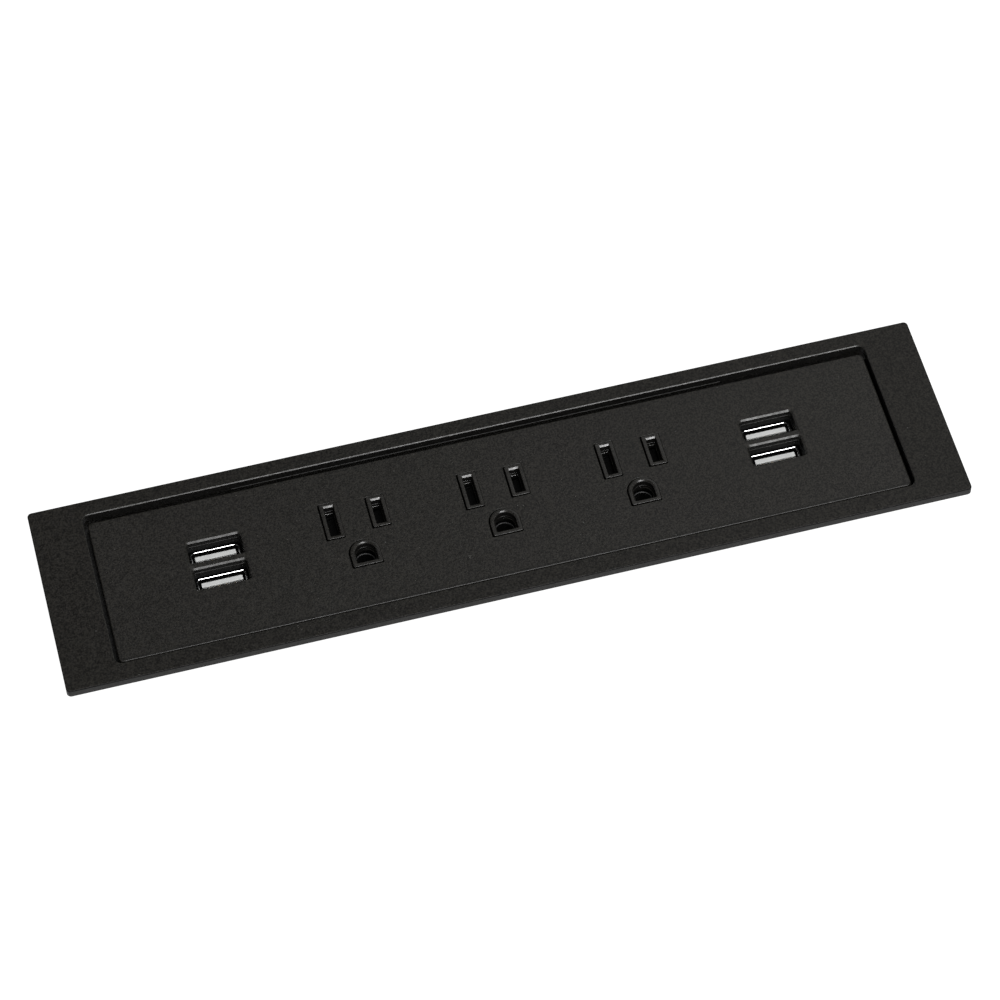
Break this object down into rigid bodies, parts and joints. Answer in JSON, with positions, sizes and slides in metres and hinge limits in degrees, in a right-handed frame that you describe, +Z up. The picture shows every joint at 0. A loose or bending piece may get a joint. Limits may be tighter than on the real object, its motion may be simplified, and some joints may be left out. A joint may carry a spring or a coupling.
{
  "type": "flush-mounted furniture power strip",
  "caption": "Flush-mounted furniture power strip: flat bezel round a recessed faceplate with three-pin outlets between stacked USB-A ports.",
  "frame": {"origin": "under the middle of the bezel, on the plane that the bottom cover stands on", "axes": "+X along the strip, from the left ports to the right ports as a reader sees them with the ground holes nearest; +Y towards the back, from the ground holes to the blade slots; +Z up, out of the faceplate"},
  "size_m": [0.245, 0.0576, 0.028],
  "materials": {
    "black_plastic": "fine grained",
    "collar_plastic": "satin",
    "housing_plastic": "coarse grained",
    "module_plastic": "satin",
    "shutter_plastic": "smooth",
    "steel": "zinc plated",
    "brass": "rolled strip",
    "nickel": "nickel plated",
    "white_resin": "smooth",
    "circuit_board": "solder mask",
    "transformer_core": "ferrite",
    "capacitor_sleeve": "shrink sleeve",
    "rubber": "matt",
    "block_nylon": "natural nylon",
    "line_insulation": "smooth",
    "neutral_insulation": "smooth",
    "earth_insulation": "smooth"
  },
  "bodies": {
    "unit": {"bezel_frame": "black_plastic", "faceplate": "black_plastic", "housing": "housing_plastic", "bottom_cover": "housing_plastic", "receptacle_face_left": "collar_plastic", "receptacle_face_middle": "collar_plastic", "receptacle_face_right": "collar_plastic", "receptacle_base_left": "module_plastic", "receptacle_base_middle": "module_plastic", "receptacle_base_right": "module_plastic", "shutter_spring_left": "steel", "shutter_spring_middle": "steel", "shutter_spring_right": "steel", "neutral_bus": "brass", "hot_bus": "brass", "ground_bus": "nickel", "usb_carrier_left": "module_plastic", "usb_carrier_right": "module_plastic", "usb_shell_left_front": "nickel", "usb_shell_left_back": "nickel", "usb_shell_right_front": "nickel", "usb_shell_right_back": "nickel", "usb_tongue_left_front": "white_resin", "usb_tongue_left_back": "white_resin", "usb_tongue_right_front": "white_resin", "usb_tongue_right_back": "white_resin", "usb_board_left": "circuit_board", "usb_board_right": "circuit_board", "usb_transformer_left": "transformer_core", "usb_transformer_right": "transformer_core", "usb_capacitor_left": "capacitor_sleeve", "usb_capacitor_right": "capacitor_sleeve", "terminal_block": "block_nylon", "line_wire": "line_insulation", "neutral_wire": "neutral_insulation", "earth_wire": "earth_insulation", "usb_feed_left": "rubber", "usb_feed_right": "rubber", "gland_body": "black_plastic", "gland_locknut": "black_plastic", "gland_nut": "black_plastic", "gland_seal": "rubber", "frame_screw_1": "steel", "frame_screw_2": "steel", "frame_screw_3": "steel", "frame_screw_4": "steel", "cover_screw_1": "steel", "cover_screw_2": "steel", "cover_screw_3": "steel", "cover_screw_4": "steel"},
    "left_shutter": {"shutter_left": "shutter_plastic"},
    "middle_shutter": {"shutter_middle": "shutter_plastic"},
    "right_shutter": {"shutter_right": "shutter_plastic"},
    "left_clamp_screw": {"clamp_screw_left": "steel"},
    "left_clamp_nut": {"clamp_nut_left": "brass"},
    "left_clamp_dog": {"clamp_dog_left": "black_plastic"},
    "right_clamp_screw": {"clamp_screw_right": "steel"},
    "right_clamp_nut": {"clamp_nut_right": "brass"},
    "right_clamp_dog": {"clamp_dog_right": "black_plastic"}
  },
  "joints": [
    {"name": "shutter_slide_left", "type": "slide", "parent": "unit", "child": "left_shutter", "axis": [1, 0, 0], "range_m": [0, 0.0032], "stiffness_N_per_m": 200, "springref_m": -0.002, "deforming": ["shutter_spring_left"]},
    {"name": "shutter_slide_middle", "type": "slide", "parent": "unit", "child": "middle_shutter", "axis": [1, 0, 0], "range_m": [0, 0.0032], "stiffness_N_per_m": 200, "springref_m": -0.002, "deforming": ["shutter_spring_middle"]},
    {"name": "shutter_slide_right", "type": "slide", "parent": "unit", "child": "right_shutter", "axis": [1, 0, 0], "range_m": [0, 0.0032], "stiffness_N_per_m": 200, "springref_m": -0.002, "deforming": ["shutter_spring_right"]},
    {"name": "clamp_screw_turn_left", "type": "hinge", "parent": "unit", "child": "left_clamp_screw", "pos_m": [-0.1105, 0.0088, 0.011], "axis": [0, 0, 1], "range_deg": [0, 1800]},
    {"name": "clamp_nut_lift_left", "type": "slide", "parent": "unit", "child": "left_clamp_nut", "axis": [0, 0, 1], "range_m": [0, 0.0075]},
    {"name": "clamp_dog_swing_left", "type": "hinge", "parent": "left_clamp_nut", "child": "left_clamp_dog", "pos_m": [-0.1105, 0.0088, 0.0093], "axis": [0, 0, 1], "range_deg": [0, 90]},
    {"name": "clamp_screw_turn_right", "type": "hinge", "parent": "unit", "child": "right_clamp_screw", "pos_m": [0.1105, 0.0088, 0.011], "axis": [0, 0, 1], "range_deg": [0, 1800]},
    {"name": "clamp_nut_lift_right", "type": "slide", "parent": "unit", "child": "right_clamp_nut", "axis": [0, 0, 1], "range_m": [0, 0.0075]},
    {"name": "clamp_dog_swing_right", "type": "hinge", "parent": "right_clamp_nut", "child": "right_clamp_dog", "pos_m": [0.1105, 0.0088, 0.0093], "axis": [0, 0, 1], "range_deg": [-90, 0]}
  ],
  "couplings": [
    {"joint": "clamp_screw_turn_left", "follows": "clamp_nut_lift_left", "rad_per_m": 4188.7},
    {"joint": "clamp_screw_turn_right", "follows": "clamp_nut_lift_right", "rad_per_m": 4188.7}
  ]
}
